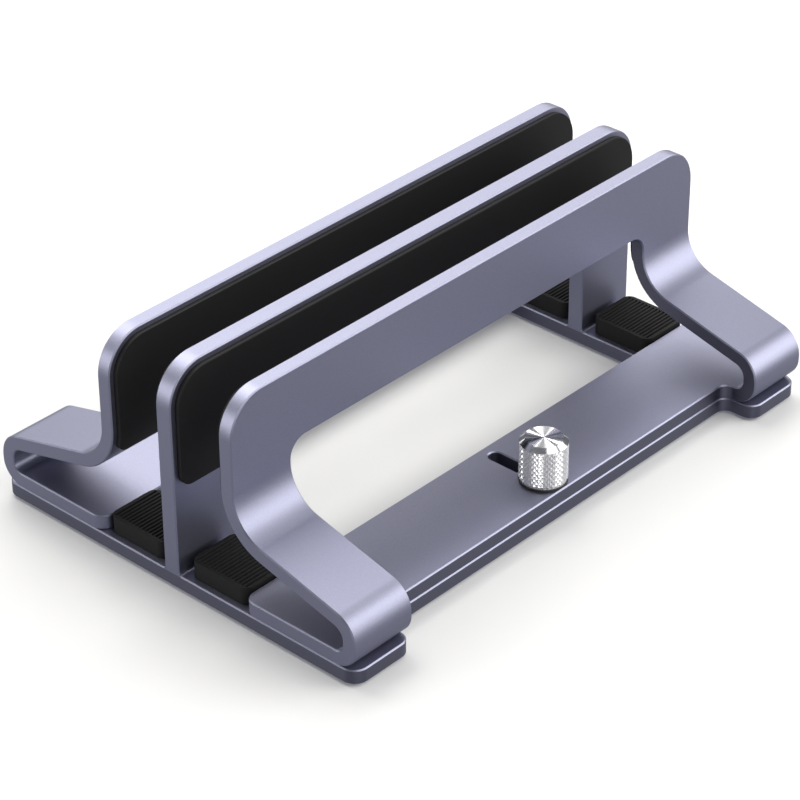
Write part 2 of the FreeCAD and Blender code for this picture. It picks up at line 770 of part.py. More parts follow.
# Write each sub-part
os.makedirs("parts", exist_ok=True)
for part in parts:
    part.Shape.exportStep("parts/" + part.Label + ".step")
    box = part.Shape.BoundBox
    print("%-24s %8.0f mm3  x %6.1f..%6.1f  y %6.1f..%6.1f  z %5.1f..%5.1f" % (
        part.Label, part.Shape.Volume, box.XMin, box.XMax, box.YMin, box.YMax, box.ZMin, box.ZMax))
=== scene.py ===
# %% [markdown]
# # A vertical laptop stand in anodised aluminium
#
# The stand is a centre frame with two sliding brackets, each clamped by a knurled thumb screw.
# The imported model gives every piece's size and place, and this file gives the pieces their
# finish. All lengths here are in metres, in the model's own frame: X across the bays, Y along
# them, Z up.

import math

import bmesh
import bpy
from mathutils import Matrix, Vector


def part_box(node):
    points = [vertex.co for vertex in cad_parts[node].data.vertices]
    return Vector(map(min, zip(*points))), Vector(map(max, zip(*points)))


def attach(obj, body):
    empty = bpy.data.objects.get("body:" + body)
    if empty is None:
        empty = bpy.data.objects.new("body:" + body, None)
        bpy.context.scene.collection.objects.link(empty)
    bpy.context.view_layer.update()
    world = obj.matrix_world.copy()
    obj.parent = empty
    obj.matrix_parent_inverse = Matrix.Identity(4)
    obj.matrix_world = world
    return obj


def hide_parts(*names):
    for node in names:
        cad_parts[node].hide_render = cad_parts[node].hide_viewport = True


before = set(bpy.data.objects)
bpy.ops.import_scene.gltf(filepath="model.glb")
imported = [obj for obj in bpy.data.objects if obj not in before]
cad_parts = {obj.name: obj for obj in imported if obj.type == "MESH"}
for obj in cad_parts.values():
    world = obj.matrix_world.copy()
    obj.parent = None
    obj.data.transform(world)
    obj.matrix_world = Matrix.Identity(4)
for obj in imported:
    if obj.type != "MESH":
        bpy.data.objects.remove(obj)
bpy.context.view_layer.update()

# %% [markdown]
# ## Camera
#
# The photograph was taken with a long lens, from above the near right corner. A long lens keeps
# parallel edges almost parallel, so the camera stands far off. It is placed by the point that it
# looks at, its distance and its angles, because those are easy to read off and to correct. The
# tiny roll is the photographer's: a camera built by hand from its three axes can hold it.

# %% Place the camera
CAMERA_AZIMUTH = math.radians(42.594)
CAMERA_ELEVATION = math.radians(32.555)
CAMERA_ROLL = math.radians(-0.361)
CAMERA_DISTANCE = 0.87043
CAMERA_TARGET = Vector((-0.008596, 0.004846, 0.008684))
LENS = 135.67
SENSOR = 36.0

camera_back = Vector((
    math.sin(CAMERA_AZIMUTH) * math.cos(CAMERA_ELEVATION),
    -math.cos(CAMERA_AZIMUTH) * math.cos(CAMERA_ELEVATION),
    math.sin(CAMERA_ELEVATION),
))
camera_right = Vector((math.cos(CAMERA_AZIMUTH), math.sin(CAMERA_AZIMUTH), 0.0))
roll = Matrix.Rotation(CAMERA_ROLL, 3, camera_back)
camera_right = roll @ camera_right
camera_up = camera_back.cross(camera_right)
axes = Matrix((camera_right, camera_up, camera_back)).transposed()

camera_data = bpy.data.cameras.new("camera")
camera_data.lens = LENS
camera_data.sensor_width = SENSOR
camera = bpy.data.objects.new("camera", camera_data)
bpy.context.scene.collection.objects.link(camera)
camera.matrix_world = Matrix.Translation(CAMERA_TARGET + camera_back * CAMERA_DISTANCE) @ axes.to_4x4()
bpy.context.scene.camera = camera
bpy.context.scene.view_settings.view_transform = "Standard"
print("the camera stands at", [round(value, 3) for value in camera.location])

# %% [markdown]
# ## Studio light
#
# Metal shows what is around it, so the lamps are large soft boxes whose mirror images fall on the
# surfaces that are bright in the photograph. The back left box is for the level faces, the back
# right one for the bends and curls, and the gap between them leaves the dark wedges on the turned
# screw heads. The high boxes on both sides light the rounded corners and the floor, and the two
# low ones on the camera's side light the upright faces and the knurls. Each strength comes from
# a picture with that lamp alone: the sum of such pictures was fitted to the photograph's levels.

# %% Hang the soft boxes
LAMP_COLOUR = (1.0, 0.99, 0.95)
LAMP_DISTANCE = 1.4

# Heading and elevation in degrees, width and height in metres, and radiance. Heading 0 is
# towards +Y, and 90 towards +X.
SOFTBOXES = {
    "softbox_back_left": (-43.0, 37.0, 1.05, 1.3, 2.4),
    "softbox_back_right": (42.0, 22.0, 1.0, 1.15, 4.6),
    "softbox_above": (-28.0, 75.5, 1.5, 1.35, 1.55),
    "softbox_right": (112.0, 25.0, 0.9, 0.8, 0.9),
    "softbox_right_high": (85.0, 50.0, 0.9, 0.9, 2.8),
    "softbox_left": (-100.0, 35.0, 0.9, 0.9, 2.3),
    "softbox_left_high": (-80.0, 62.0, 0.8, 0.8, 4.6),
    "softbox_front_left": (-150.0, 12.0, 0.9, 0.7, 4.2),
    "softbox_front_right": (116.0, 12.0, 1.0, 0.5, 2.3),
}


def add_softbox(name, heading, elevation, width, height, radiance):
    """Hang a rectangular lamp that faces the stand."""
    turn = math.radians(heading)
    rise = math.radians(elevation)
    away = Vector((math.sin(turn) * math.cos(rise), math.cos(turn) * math.cos(rise), math.sin(rise)))
    lamp = bpy.data.lights.new(name, "AREA")
    lamp.shape = "RECTANGLE"
    lamp.size = width
    lamp.size_y = height
    lamp.energy = radiance * width * height * math.pi
    lamp.color = LAMP_COLOUR
    lamp_object = bpy.data.objects.new(name, lamp)
    bpy.context.scene.collection.objects.link(lamp_object)
    lamp_object.location = away * LAMP_DISTANCE
    lamp_object.rotation_mode = "QUATERNION"
    lamp_object.rotation_quaternion = away.to_track_quat("Z", "Y")


for name, measures in SOFTBOXES.items():
    add_softbox(name, *measures)

# %% [markdown]
# The world fills the shadows with plain grey light. The camera sees it white, like the paper
# behind a product photograph, and Light Path tells the two apart.

# %% Colour the world
WORLD_COLOUR = (0.145, 0.15, 0.165)
PAPER_WHITE = (1.0, 1.0, 1.0)

world = bpy.data.worlds.new("studio")
world.use_nodes = True
bpy.context.scene.world = world
tree = world.node_tree
background = tree.nodes["Background"]
background.inputs["Color"].default_value = (*WORLD_COLOUR, 1.0)
paper = tree.nodes.new("ShaderNodeBackground")
paper.inputs["Color"].default_value = (*PAPER_WHITE, 1.0)
rays = tree.nodes.new("ShaderNodeLightPath")
mix = tree.nodes.new("ShaderNodeMixShader")
tree.links.new(rays.outputs["Is Camera Ray"], mix.inputs["Fac"])
tree.links.new(background.outputs["Background"], mix.inputs[1])
tree.links.new(paper.outputs["Background"], mix.inputs[2])
tree.links.new(mix.outputs["Shader"], tree.nodes["World Output"].inputs["Surface"])
print("the world's light:", WORLD_COLOUR)

# %% [markdown]
# ## Floor
#
# The floor is pale and takes the stand's soft shadow. A small part of its light is its own, for
# what the camera and the metal see. It is a disc that ends where the lamps still reach, and the
# white world goes on behind it.

# %% Lay the floor
FLOOR_RADIUS = 0.95
FLOOR_SIDES = 96

bpy.ops.mesh.primitive_circle_add(vertices=FLOOR_SIDES, radius=FLOOR_RADIUS, fill_type="NGON")
floor = bpy.context.object
floor.name = "floor"
print("the floor reaches", FLOOR_RADIUS, "metres out")

# %% Paint the floor
FLOOR_COLOUR = (0.72, 0.72, 0.72)
GLOW_COLOUR = (0.32, 0.325, 0.37)
CAMERA_GLOW = 0.2
GLOSSY_GLOW = 0.8

floor_paint = bpy.data.materials.new("white_floor")
floor_paint.use_nodes = True
tree = floor_paint.node_tree
tree.nodes.remove(tree.nodes["Principled BSDF"])
matt = tree.nodes.new("ShaderNodeBsdfDiffuse")
matt.inputs["Color"].default_value = (*FLOOR_COLOUR, 1.0)
glow = tree.nodes.new("ShaderNodeEmission")
glow.inputs["Color"].default_value = (*GLOW_COLOUR, 1.0)
rays = tree.nodes.new("ShaderNodeLightPath")
seen = tree.nodes.new("ShaderNodeMath")
seen.operation = "MULTIPLY"
seen.inputs[1].default_value = CAMERA_GLOW
share = tree.nodes.new("ShaderNodeMath")
share.operation = "MULTIPLY_ADD"
share.inputs[1].default_value = GLOSSY_GLOW
mix = tree.nodes.new("ShaderNodeMixShader")
tree.links.new(rays.outputs["Is Camera Ray"], seen.inputs[0])
tree.links.new(rays.outputs["Is Glossy Ray"], share.inputs[0])
tree.links.new(seen.outputs["Value"], share.inputs[2])
tree.links.new(share.outputs["Value"], mix.inputs["Fac"])
tree.links.new(matt.outputs["BSDF"], mix.inputs[1])
tree.links.new(glow.outputs["Emission"], mix.inputs[2])
tree.links.new(mix.outputs["Shader"], tree.nodes["Material Output"].inputs["Surface"])
floor.data.materials.append(floor_paint)
print("the floor is painted", floor_paint.name)

# %% [markdown]
# ## Node groups for the finishes
#
# Two effects are needed by several finishes, so each is built once as a group. The first is a
# fine grain, which the blasted metal and the moulded rubber share at different scales. The
# second is the faint drawn lines that a saw and a mill leave along a cut edge. Both read Object
# coordinates, so the pattern stays on the piece when it moves.

# %% Build the grain group
NOISE_MEAN = 0.5


def new_group(name, inputs, outputs):
    """Start a shader node group with named float inputs and outputs."""
    group = bpy.data.node_groups.new(name, "ShaderNodeTree")
    for title, value in inputs.items():
        socket = group.interface.new_socket(title, in_out="INPUT", socket_type="NodeSocketFloat")
        socket.default_value = value
    for title in outputs:
        group.interface.new_socket(title, in_out="OUTPUT", socket_type="NodeSocketFloat")
    source = group.nodes.new("NodeGroupInput")
    sink = group.nodes.new("NodeGroupOutput")
    return group, source, sink


def add_math(tree, operation, first, second):
    """Add a math node whose inputs are sockets or plain numbers."""
    node = tree.nodes.new("ShaderNodeMath")
    node.operation = operation
    for socket, value in zip(node.inputs, (first, second)):
        if isinstance(value, (int, float)):
            socket.default_value = value
        else:
            tree.links.new(value, socket)
    return node.outputs["Value"]


def vary(tree, noise, depth):
    """Turn a noise about its mean into a factor about one."""
    offset = add_math(tree, "SUBTRACT", noise, NOISE_MEAN)
    return add_math(tree, "ADD", add_math(tree, "MULTIPLY", offset, depth), 1.0)


grain, grain_in, grain_out = new_group("fine_grain", {"Scale": 3000.0, "Depth": 0.1}, ["Shade", "Height"])
coordinates = grain.nodes.new("ShaderNodeTexCoord")
speckle = grain.nodes.new("ShaderNodeTexNoise")
speckle.inputs["Detail"].default_value = 2.0
grain.links.new(coordinates.outputs["Object"], speckle.inputs["Vector"])
grain.links.new(grain_in.outputs["Scale"], speckle.inputs["Scale"])
factor = vary(grain, speckle.outputs["Fac"], grain_in.outputs["Depth"])
grain.links.new(factor, grain_out.inputs["Shade"])
grain.links.new(speckle.outputs["Fac"], grain_out.inputs["Height"])
print("grain group:", [item.name for item in grain.interface.items_tree])

# %% Build the drawn lines group
drawn, drawn_in, drawn_out = new_group("drawn_lines", {"Spacing": 0.0002, "Depth": 0.2}, ["Shade"])
coordinates = drawn.nodes.new("ShaderNodeTexCoord")
split = drawn.nodes.new("ShaderNodeSeparateXYZ")
drawn.links.new(coordinates.outputs["Object"], split.inputs["Vector"])
level = add_math(drawn, "DIVIDE", split.outputs["Z"], drawn_in.outputs["Spacing"])
streak = drawn.nodes.new("ShaderNodeTexNoise")
streak.noise_dimensions = "1D"
streak.inputs["Scale"].default_value = 1.0
streak.inputs["Detail"].default_value = 1.0
drawn.links.new(level, streak.inputs["W"])
factor = vary(drawn, streak.outputs["Fac"], drawn_in.outputs["Depth"])
drawn.links.new(factor, drawn_out.inputs["Shade"])
print("drawn lines group:", [item.name for item in drawn.interface.items_tree])

# %% [markdown]
# ## Finishes
#
# Each finish is a Principled BSDF. What is the same all over is set on its sockets, and only
# what varies over the surface comes from the groups.

# %% Helpers for the finishes
def new_finish(name, colour, metallic, roughness):
    """Start a material and give back its tree and its Principled BSDF."""
    material = bpy.data.materials.new(name)
    material.use_nodes = True
    shader = material.node_tree.nodes["Principled BSDF"]
    shader.inputs["Base Color"].default_value = (*colour, 1.0)
    shader.inputs["Metallic"].default_value = metallic
    shader.inputs["Roughness"].default_value = roughness
    return material, material.node_tree, shader


def add_group(tree, group, **values):
    """Place a node group in a material with its own values."""
    node = tree.nodes.new("ShaderNodeGroup")
    node.node_tree = group
    for title, value in values.items():
        node.inputs[title].default_value = value
    return node


def add_shade(tree, shader, colour, factors):
    """Multiply a base colour by one or more shading factors."""
    total = factors[0]
    for factor in factors[1:]:
        total = add_math(tree, "MULTIPLY", total, factor)
    tint = tree.nodes.new("ShaderNodeVectorMath")
    tint.operation = "SCALE"
    tint.inputs[0].default_value = colour
    tree.links.new(total, tint.inputs["Scale"])
    tree.links.new(tint.outputs["Vector"], shader.inputs["Base Color"])


def add_bump(tree, shader, height, distance, strength):
    """Raise the surface a little by a height."""
    bump = tree.nodes.new("ShaderNodeBump")
    bump.inputs["Distance"].default_value = distance
    bump.inputs["Strength"].default_value = strength
    tree.links.new(height, bump.inputs["Height"])
    tree.links.new(bump.outputs["Normal"], shader.inputs["Normal"])


print("a finish starts from colour, metallic share and roughness")

# %% [markdown]
# The frame and the brackets are blasted with fine beads and then anodised. Blasting leaves a
# skin of tiny dents, which blurs the mirror images of the lamps without hiding them: a full
# metal with a middling roughness, and a grain that is only just visible.

# %% Anodised aluminium
METAL_COLOUR = (0.240, 0.244, 0.325)

anodised, tree, shader = new_finish("anodised_aluminium", METAL_COLOUR, metallic=1.0, roughness=0.46)
grain_node = add_group(tree, grain, Scale=3600.0, Depth=0.35)
add_shade(tree, shader, METAL_COLOUR, [grain_node.outputs["Shade"]])
add_bump(tree, shader, grain_node.outputs["Height"], distance=0.00002, strength=0.35)
print("made", anodised.name)

# %% [markdown]
# A mill leaves fine marks along its cut, and a lathe leaves them round its axis. A reflection
# stretches across such marks. An anisotropic shader does that with a radial tangent, which runs
# round Z, given a quarter turn. The milled finish is also given a darker colour, which is
# painted shade.

# %% Milled aluminium
# About half the anodised colour: painted shade for the low and recessed upright faces, over real milled
# marks
MILLED_SHADED_COLOUR = (0.115, 0.117, 0.158)
QUARTER_TURN = 0.25


def stretch_reflections(tree, shader, strength):
    """Stretch the reflections across marks that run round Z."""
    shader.inputs["Anisotropic"].default_value = strength
    shader.inputs["Anisotropic Rotation"].default_value = QUARTER_TURN
    tangent = tree.nodes.new("ShaderNodeTangent")
    tangent.direction_type = "RADIAL"
    tangent.axis = "Z"
    tree.links.new(tangent.outputs["Tangent"], shader.inputs["Tangent"])


milled_shaded, tree, shader = new_finish("milled_aluminium_painted_shade", MILLED_SHADED_COLOUR, metallic=1.0, roughness=0.42)
stretch_reflections(tree, shader, strength=0.6)
grain_node = add_group(tree, grain, Scale=3600.0, Depth=0.3)
lines_node = add_group(tree, drawn, Spacing=0.00018, Depth=0.2)
add_shade(tree, shader, MILLED_SHADED_COLOUR, [grain_node.outputs["Shade"], lines_node.outputs["Shade"]])
print("made", milled_shaded.name)

# %% [markdown]
# The wall pads are smooth silicone and the rest pads ribbed rubber. Both are near black and take
# only a weak, broad shine, so the specular level is far under the usual half. The washers are
# thin black plastic, with a little more shine.

# %% Silicone of the wall pads
SILICONE_COLOUR = (0.0065, 0.0065, 0.0072)

silicone, tree, shader = new_finish("wall_pad_silicone", SILICONE_COLOUR, metallic=0.0, roughness=0.62)
shader.inputs["Specular IOR Level"].default_value = 0.22
grain_node = add_group(tree, grain, Scale=2600.0, Depth=0.5)
add_shade(tree, shader, SILICONE_COLOUR, [grain_node.outputs["Shade"]])
add_bump(tree, shader, grain_node.outputs["Height"], distance=0.00002, strength=0.3)
print("made", silicone.name)

# %% Rubber of the rest pads and feet
RUBBER_COLOUR = (0.009, 0.009, 0.0096)

rubber, tree, shader = new_finish("ribbed_rubber", RUBBER_COLOUR, metallic=0.0, roughness=0.7)
shader.inputs["Specular IOR Level"].default_value = 0.2
grain_node = add_group(tree, grain, Scale=2200.0, Depth=0.6)
add_shade(tree, shader, RUBBER_COLOUR, [grain_node.outputs["Shade"]])
add_bump(tree, shader, grain_node.outputs["Height"], distance=0.00003, strength=0.4)
print("made", rubber.name)

# %% Black plastic of the washers
PLASTIC_COLOUR = (0.012, 0.012, 0.012)

plastic, tree, shader = new_finish("washer_plastic", PLASTIC_COLOUR, metallic=0.0, roughness=0.45)
grain_node = add_group(tree, grain, Scale=3000.0, Depth=0.3)
add_shade(tree, shader, PLASTIC_COLOUR, [grain_node.outputs["Shade"]])
print("made", plastic.name)

# %% [markdown]
# The thumb screws are turned and plated. On the end face the tool leaves rings, and rings spread
# a reflection outwards from the middle, which makes the dark wedges. The larger rings are real
# ones in the head's mesh, further on, and the finer marks are left to the shader. The knurl and
# the studs get a finish of their own, which isn't wholly metallic, so part of its light scatters.

# %% Plated steel
STEEL_COLOUR = (0.80, 0.80, 0.82)

plated, tree, shader = new_finish("plated_steel", STEEL_COLOUR, metallic=0.72, roughness=0.2)
grain_node = add_group(tree, grain, Scale=2400.0, Depth=0.12)
add_shade(tree, shader, STEEL_COLOUR, [grain_node.outputs["Shade"]])
print("made", plated.name)

turned, tree, shader = new_finish("turned_steel", STEEL_COLOUR, metallic=1.0, roughness=0.15)
stretch_reflections(tree, shader, strength=0.3)
grain_node = add_group(tree, grain, Scale=1800.0, Depth=0.12)
add_shade(tree, shader, STEEL_COLOUR, [grain_node.outputs["Shade"]])
print("made", turned.name)

# %% [markdown]
# ## Metal pieces
#
# The frame and the brackets are right as modelled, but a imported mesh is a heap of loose
# triangles. A copy of each is merged into a clean shell: doubles removed, flat faces joined, and
# shaded smooth across the small chamfers, with the normals weighted by area. Then each chamfer
# shades like the rounded rim of blasted metal, and the wide faces stay flat.

# %% Helpers for merged copies
SAME_POINT = 1e-6
FLAT_ANGLE = math.radians(0.4)


def select_only(*pieces):
    """Select these objects and nothing else, and make the first one active."""
    bpy.ops.object.select_all(action="DESELECT")
    for piece in pieces:
        piece.select_set(True)
    bpy.context.view_layer.objects.active = pieces[0]


def merged_copy(node, name):
    """Copy a node's mesh into a new piece and merge it into one clean shell."""
    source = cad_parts[node]
    piece = bpy.data.objects.new(name, source.data.copy())
    bpy.context.scene.collection.objects.link(piece)
    piece.data.materials.clear()
    select_only(piece)
    bpy.ops.mesh.customdata_custom_splitnormals_clear()
    bpy.ops.object.mode_set(mode="EDIT")
    bpy.ops.mesh.select_all(action="SELECT")
    bpy.ops.mesh.remove_doubles(threshold=SAME_POINT)
    bpy.ops.mesh.dissolve_limited(angle_limit=FLAT_ANGLE)
    bpy.ops.mesh.select_all(action="DESELECT")
    bpy.ops.object.mode_set(mode="OBJECT")
    return piece


def apply_modifier(piece, kind, **settings):
    """Add a modifier to a piece and apply it at once."""
    select_only(piece)
    modifier = piece.modifiers.new(kind.lower(), kind)
    for key, value in settings.items():
        setattr(modifier, key, value)
    bpy.ops.object.modifier_apply(modifier=modifier.name)


def shade(piece, angle):
    """Shade smooth, with edges sharper than the angle kept sharp and wide faces flat."""
    select_only(piece)
    bpy.ops.object.shade_smooth_by_angle(angle=angle, keep_sharp_edges=False)
    apply_modifier(piece, "WEIGHTED_NORMAL", keep_sharp=True)


def settle(piece, material, body, slot, *nodes):
    """Give a piece its finish, its body and the node that it stands for."""
    piece.data.materials.clear()
    piece.data.materials.append(material)
    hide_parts(*nodes)
    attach(piece, body)
    print(piece.name, len(piece.data.polygons), "faces, rides on", body)


print("nodes to copy:", len(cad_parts))

# %% [markdown]
# Base, windows and slots are milled out of the extruded sections, so the upright faces that the
# cutter left get the milled finish, whose darker colour is painted shade for these low and
# recessed faces. They are picked by their place and normal. Rims that the model leaves square
# get a chamfer as narrow as the modelled ones.

# %% Pick the milled faces, which take painted shade
BASE_TOP = 0.0053
FOOT_TOP = 0.0098
WINDOW_TOP = 0.0472
WINDOW_END = 0.0735
STRIP_OUTER = 0.0566
SLOT_REACH = 0.003
SLOT_INNER = 0.03
NEAR = 0.0002
# A face counts as square to an axis where its normal's part along that axis is under this
BARELY = 0.1


def in_window(centre, normal):
    """Say whether a face lines the window."""
    inside = abs(centre.y) < WINDOW_END + NEAR and FOOT_TOP + NEAR < centre.z < WINDOW_TOP + NEAR
    return inside and abs(normal.x) < BARELY


def is_frame_milled_shaded(centre, normal):
    """Say whether a face of the centre frame was milled."""
    return in_window(centre, normal) or (centre.z < BASE_TOP and abs(normal.z) < BARELY)


def is_bracket_milled_shaded(centre, normal):
    """Say whether a face of a bracket was milled."""
    upright = abs(normal.z) < BARELY and centre.z < FOOT_TOP and abs(centre.y) < WINDOW_END + NEAR
    at_strip = abs(centre.x) > STRIP_OUTER - NEAR
    in_slot = abs(centre.y) < SLOT_REACH and abs(centre.x) > SLOT_INNER
    return in_window(centre, normal) or (upright and (at_strip or in_slot))


def mill(piece, wanted):
    """Give the milled finish, whose darker colour is painted shade, to the faces that pass a test."""
    piece.data.materials.append(milled_shaded)
    count = 0
    for face in piece.data.polygons:
        if wanted(face.center, face.normal):
            face.material_index = 1
            count += 1
    print(piece.name, "has", count, "milled faces")


print("the window reaches", WINDOW_TOP, "up and", WINDOW_END, "along")

# %% Centre frame and brackets
SLIDERS = {"left": "left_slider", "right": "right_slider"}
EDGE_BREAK = 0.00035
SQUARE_ANGLE = math.radians(60.0)
CHAMFER_ANGLE = math.radians(30.0)


def metal_copy(node, name, body):
    """Merge a copy of a metal node, break its square edges and dress it."""
    piece = merged_copy(node, name)
    apply_modifier(
        piece, "BEVEL", width=EDGE_BREAK, segments=1, limit_method="ANGLE", angle_limit=SQUARE_ANGLE,
        use_clamp_overlap=False, harden_normals=False)
    shade(piece, CHAMFER_ANGLE)
    settle(piece, anodised, body, "anodised_aluminium", node)
    return piece


piece = metal_copy("centre_frame", "blasted_centre_frame", "base")
# The faces at the frame's ends and at the window's ends run from the base up into the wall. A
# cut just under the base's top parts them, so that each part can have its own finish
select_only(piece)
bpy.ops.object.mode_set(mode="EDIT")
bpy.ops.mesh.select_all(action="SELECT")
bpy.ops.mesh.bisect(plane_co=(0.0, 0.0, BASE_TOP - EDGE_BREAK), plane_no=(0.0, 0.0, 1.0))
bpy.ops.object.mode_set(mode="OBJECT")
# The milled faces get the darker colour, which is painted shade
mill(piece, is_frame_milled_shaded)
for side, body in SLIDERS.items():
    piece = metal_copy(f"{side}_bracket", f"blasted_{side}_bracket", body)
    mill(piece, is_bracket_milled_shaded)

# %% [markdown]
# ## Rubber and silicone
#
# Moulded rubber has no sharp corners. Every pad, foot and washer gets a bevel of two or three
# segments round its rims, and the ribs of the rest pads get a finer one, which leaves room
# between neighbouring ribs.

# %% Wall pads
PAD_RIM = 0.00035
RIM_ANGLE = math.radians(50.0)


def soft_copy(node, name, rim, segments):
    """Merge a copy of a node and round its rims."""
    piece = merged_copy(node, name)
    apply_modifier(
        piece, "BEVEL", width=rim, segments=segments, limit_method="ANGLE", angle_limit=RIM_ANGLE / 2,
        harden_normals=False)
    shade(piece, RIM_ANGLE)
    return piece


for side, body in SLIDERS.items():
    piece = soft_copy(f"{side}_bracket_pad", f"moulded_{side}_bracket_pad", PAD_RIM, segments=3)
    settle(piece, silicone, body, "wall_pad_silicone", f"{side}_bracket_pad")
    piece = soft_copy(f"centre_pad_{side}", f"moulded_centre_pad_{side}", PAD_RIM, segments=3)
    settle(piece, silicone, "base", "wall_pad_silicone", f"centre_pad_{side}")

# %% Rest pads and feet
RIB_RIM = 0.00012
FOOT_RIM = 0.0003

for side in SLIDERS:
    for end in ("front", "back"):
        piece = soft_copy(f"{side}_{end}_rest_pad", f"moulded_{side}_{end}_rest_pad", RIB_RIM, segments=2)
        settle(piece, rubber, "base", "ribbed_rubber", f"{side}_{end}_rest_pad")
        piece = soft_copy(f"{side}_{end}_foot", f"moulded_{side}_{end}_foot", FOOT_RIM, segments=2)
        settle(piece, rubber, "base", "foot_rubber", f"{side}_{end}_foot")

# %% Washers
WASHER_RIM = 0.0001

for side in SLIDERS:
    piece = soft_copy(f"{side}_washer", f"moulded_{side}_washer", WASHER_RIM, segments=2)
    settle(piece, plastic, f"{side}_screw_washer", "washer_plastic", f"{side}_washer")

# %% [markdown]
# ## Thumb screws
#
# A knurling tool presses two families of crossing grooves into the turned blank, and what
# stands between them are small pyramids with flattened tips. The head starts as a cylinder with
# two sides for each pyramid round it, and is extruded upwards ring by ring. Every second point
# is then pushed out. Cutting each quad along its shorter diagonal, which joins two groove
# points, makes the pyramids, and a bevel of their points flattens the tips.

# %% Measures of the head
KNURL_COUNT = 32
KNURL_ROWS = 7
KNURL_DEPTH = 0.00034
TIP_FLAT = 0.0002
COLLAR_HEIGHT = 0.00012
COLLAR_INSET = 0.0001
CROWN_WIDTH = 0.00142
CROWN_HEIGHT = 0.00112
RING_COUNT = 24
RING_PITCH = 0.00022
RING_DEPTH = 0.000075
BORE_DEPTH = 0.007
BORE_RADIUS = 0.00197

knob_low, knob_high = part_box("right_knob")
KNOB_RADIUS = (knob_high.x - knob_low.x) / 2
KNOB_HEIGHT = knob_high.z - knob_low.z
ROOT_RADIUS = KNOB_RADIUS - KNURL_DEPTH
COLLAR_RADIUS = KNOB_RADIUS - COLLAR_INSET
KNURL_HEIGHT = KNOB_HEIGHT - CROWN_HEIGHT - COLLAR_HEIGHT
KNURL_STEP = KNURL_HEIGHT / (2 * KNURL_ROWS)
print("head radius", round(KNOB_RADIUS, 5), "height", round(KNOB_HEIGHT, 5))


# %% Helpers for edit mode
def select_vertices(piece, wanted):
    """In edit mode, select the vertices whose place passes a test."""
    mesh = bmesh.from_edit_mesh(piece.data)
    mesh.select_mode = {"VERT"}
    for vertex in mesh.verts:
        vertex.select = wanted(vertex.co)
    mesh.select_flush_mode()
    bmesh.update_edit_mesh(piece.data)


def select_faces(piece, wanted):
    """In edit mode, select the faces whose middle and normal pass a test."""
    bpy.ops.mesh.select_mode(type="FACE")
    mesh = bmesh.from_edit_mesh(piece.data)
    for face in mesh.faces:
        face.select_set(wanted(face.calc_center_median(), face.normal))
    bmesh.update_edit_mesh(piece.data)


def extrude_up(height, scale, middle):
    """Extrude the selected face upwards and resize it about the axis."""
    bpy.ops.mesh.extrude_region_move(TRANSFORM_OT_translate={"value": (0.0, 0.0, height)})
    if scale != 1.0:
        bpy.ops.transform.resize(value=(scale, scale, 1.0), center_override=middle)


print("steps up the knurl:", 2 * KNURL_ROWS, "of", round(KNURL_STEP, 5))

# %% Turn the blank
# A face counts as level where its normal's part along Z is over this
MOSTLY = 0.9


def turn_blank(name, low, middle):
    """Turn a head: a plain grid for the knurl, the collar, and the crown with its rings."""
    bpy.ops.mesh.primitive_cylinder_add(
        vertices=2 * KNURL_COUNT, radius=ROOT_RADIUS, depth=KNURL_STEP,
        location=(middle.x, middle.y, low.z + KNURL_STEP / 2))
    head = bpy.context.object
    head.name = name
    select_only(head)
    bpy.ops.object.transform_apply(location=True, rotation=True, scale=True)

    bpy.ops.object.mode_set(mode="EDIT")
    select_faces(head, lambda centre, normal: normal.z > MOSTLY)
    for level in range(2 * KNURL_ROWS - 1):
        extrude_up(KNURL_STEP, 1.0, middle)
    extrude_up(0.0, COLLAR_RADIUS / ROOT_RADIUS, middle)
    extrude_up(COLLAR_HEIGHT, 1.0, middle)
    extrude_up(CROWN_HEIGHT, (COLLAR_RADIUS - CROWN_WIDTH) / COLLAR_RADIUS, middle)
    for ring in range(RING_COUNT):
        bpy.ops.mesh.inset(thickness=RING_PITCH / 2, depth=-RING_DEPTH)
        bpy.ops.mesh.inset(thickness=RING_PITCH / 2, depth=RING_DEPTH)
    bpy.ops.object.mode_set(mode="OBJECT")
    return head


print("rings reach", round(RING_COUNT * RING_PITCH, 5), "in from the rim")

# %% Press the knurl
# A face counts as part of the knurl where its normal's part along Z is under this
KNURL_TILT = 0.5


def press_knurl(head, low, middle):
    """Push every second point of the grid out into a pyramid, and flatten the tips."""

    def is_tip(point):
        across = Vector((point.x - middle.x, point.y - middle.y))
        level = round((point.z - low.z) / KNURL_STEP)
        if abs(across.length - ROOT_RADIUS) > KNURL_DEPTH / 4:
            return False
        turn = math.atan2(across.x, across.y)
        column = round(turn / (math.pi / KNURL_COUNT))
        return 0 < level < 2 * KNURL_ROWS and (column + level) % 2 == 0

    def is_pushed(point):
        across = math.hypot(point.x - middle.x, point.y - middle.y)
        return across > KNOB_RADIUS - SAME_POINT

    def is_knurl(centre, normal):
        return abs(normal.z) < KNURL_TILT and centre.z < low.z + KNURL_HEIGHT

    select_only(head)
    bpy.ops.object.mode_set(mode="EDIT")
    bpy.ops.mesh.select_mode(type="VERT")
    select_vertices(head, is_tip)
    tip_scale = KNOB_RADIUS / ROOT_RADIUS
    bpy.ops.transform.resize(value=(tip_scale, tip_scale, 1.0), center_override=middle)
    select_faces(head, is_knurl)
    bpy.ops.mesh.quads_convert_to_tris(quad_method="SHORTEST_DIAGONAL")
    bpy.ops.mesh.select_mode(type="VERT")
    select_vertices(head, is_pushed)
    bpy.ops.mesh.bevel(offset=TIP_FLAT, offset_type="WIDTH", affect="VERTICES")
    bpy.ops.object.mode_set(mode="OBJECT")


print("pyramids on a head:", KNURL_COUNT * (2 * KNURL_ROWS - 1))


# %% Drill and dress the heads
HEAD_ANGLE = math.radians(20.0)
CROWN_TILT = 0.2


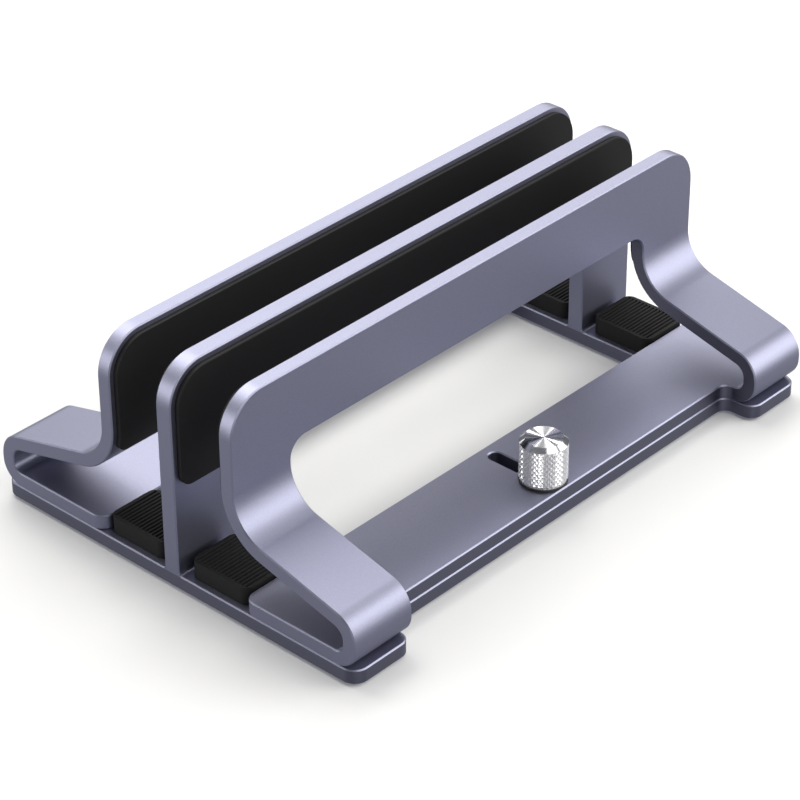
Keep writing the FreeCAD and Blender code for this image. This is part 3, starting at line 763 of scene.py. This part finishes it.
def drill_bore(head, low):
    """Sink the blind bore that holds the stud."""
    select_only(head)
    bpy.ops.object.mode_set(mode="EDIT")
    select_faces(head, lambda centre, normal: normal.z < -MOSTLY and centre.z < low.z + SAME_POINT)
    bpy.ops.mesh.inset(thickness=ROOT_RADIUS - BORE_RADIUS)
    bpy.ops.mesh.extrude_region_move(TRANSFORM_OT_translate={"value": (0.0, 0.0, BORE_DEPTH)})
    bpy.ops.object.mode_set(mode="OBJECT")


for side in SLIDERS:
    low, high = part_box(f"{side}_knob")
    middle = (low + high) / 2
    head = turn_blank(f"turned_{side}_head", low, middle)
    press_knurl(head, low, middle)
    drill_bore(head, low)
    shade(head, HEAD_ANGLE)
    settle(head, plated, f"{side}_thumb_screw", "knob_steel", f"{side}_knob")
    head.data.materials.append(turned)
    for face in head.data.polygons:
        if face.normal.z > CROWN_TILT and face.center.z > high.z - CROWN_HEIGHT:
            face.material_index = 1

# %% [markdown]
# The stud below the head is an M4 screw. One turn of the thread's profile is drawn as a short
# zigzag of edges, and the Screw modifier winds it up the stud. Two bisecting planes then cut the
# ends square and close them.

# %% Cut the threads
THREAD_PITCH = 0.0007
THREAD_DEPTH = 0.00043
THREAD_STEPS = 24
THREAD_ANGLE = math.radians(30.0)
SPARE_TURNS = 3
# The thread starts so far under the stud's end, in turns, that no point lies in a cutting plane
THREAD_START = 1.5 + 0.4 / THREAD_STEPS
# The flanks of one turn: at the root or at the crest, and the share of the pitch
FLANKS = [("root", 0.0), ("root", 0.125), ("crest", 0.5), ("crest", 0.625), ("root", 1.0)]


def make_stud(side):
    """Model one threaded stud at its place."""
    low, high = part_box(f"{side}_stud")
    middle = (low + high) / 2
    crest = (high.x - low.x) / 2
    reach = {"root": crest - THREAD_DEPTH, "crest": crest}
    mesh = bpy.data.meshes.new(f"threaded_{side}_stud")
    mesh.from_pydata(
        [(reach[place], 0.0, share * THREAD_PITCH) for place, share in FLANKS],
        [(index, index + 1) for index in range(len(FLANKS) - 1)], [])
    stud = bpy.data.objects.new(f"threaded_{side}_stud", mesh)
    bpy.context.scene.collection.objects.link(stud)
    turns = math.ceil((high.z - low.z) / THREAD_PITCH) + SPARE_TURNS
    apply_modifier(
        stud, "SCREW", angle=2 * math.pi, screw_offset=THREAD_PITCH, iterations=turns,
        steps=THREAD_STEPS, render_steps=THREAD_STEPS, use_merge_vertices=True,
        merge_threshold=SAME_POINT, use_normal_calculate=True)
    stud.location = (middle.x, middle.y, low.z - THREAD_START * THREAD_PITCH)
    select_only(stud)
    bpy.ops.object.transform_apply(location=True, rotation=True, scale=True)

    bpy.ops.object.mode_set(mode="EDIT")
    bpy.ops.mesh.select_all(action="SELECT")
    bpy.ops.mesh.remove_doubles(threshold=SAME_POINT)
    bpy.ops.mesh.bisect(
        plane_co=low, plane_no=(0.0, 0.0, 1.0), use_fill=True, clear_inner=True, threshold=SAME_POINT)
    bpy.ops.mesh.select_all(action="SELECT")
    bpy.ops.mesh.bisect(
        plane_co=high, plane_no=(0.0, 0.0, 1.0), use_fill=True, clear_outer=True, threshold=SAME_POINT)
    bpy.ops.mesh.select_all(action="SELECT")
    bpy.ops.mesh.normals_make_consistent(inside=False)
    bpy.ops.object.mode_set(mode="OBJECT")
    return stud


for side in SLIDERS:
    stud = make_stud(side)
    shade(stud, THREAD_ANGLE)
    settle(stud, plated, f"{side}_thumb_screw", "stud_steel", f"{side}_stud")
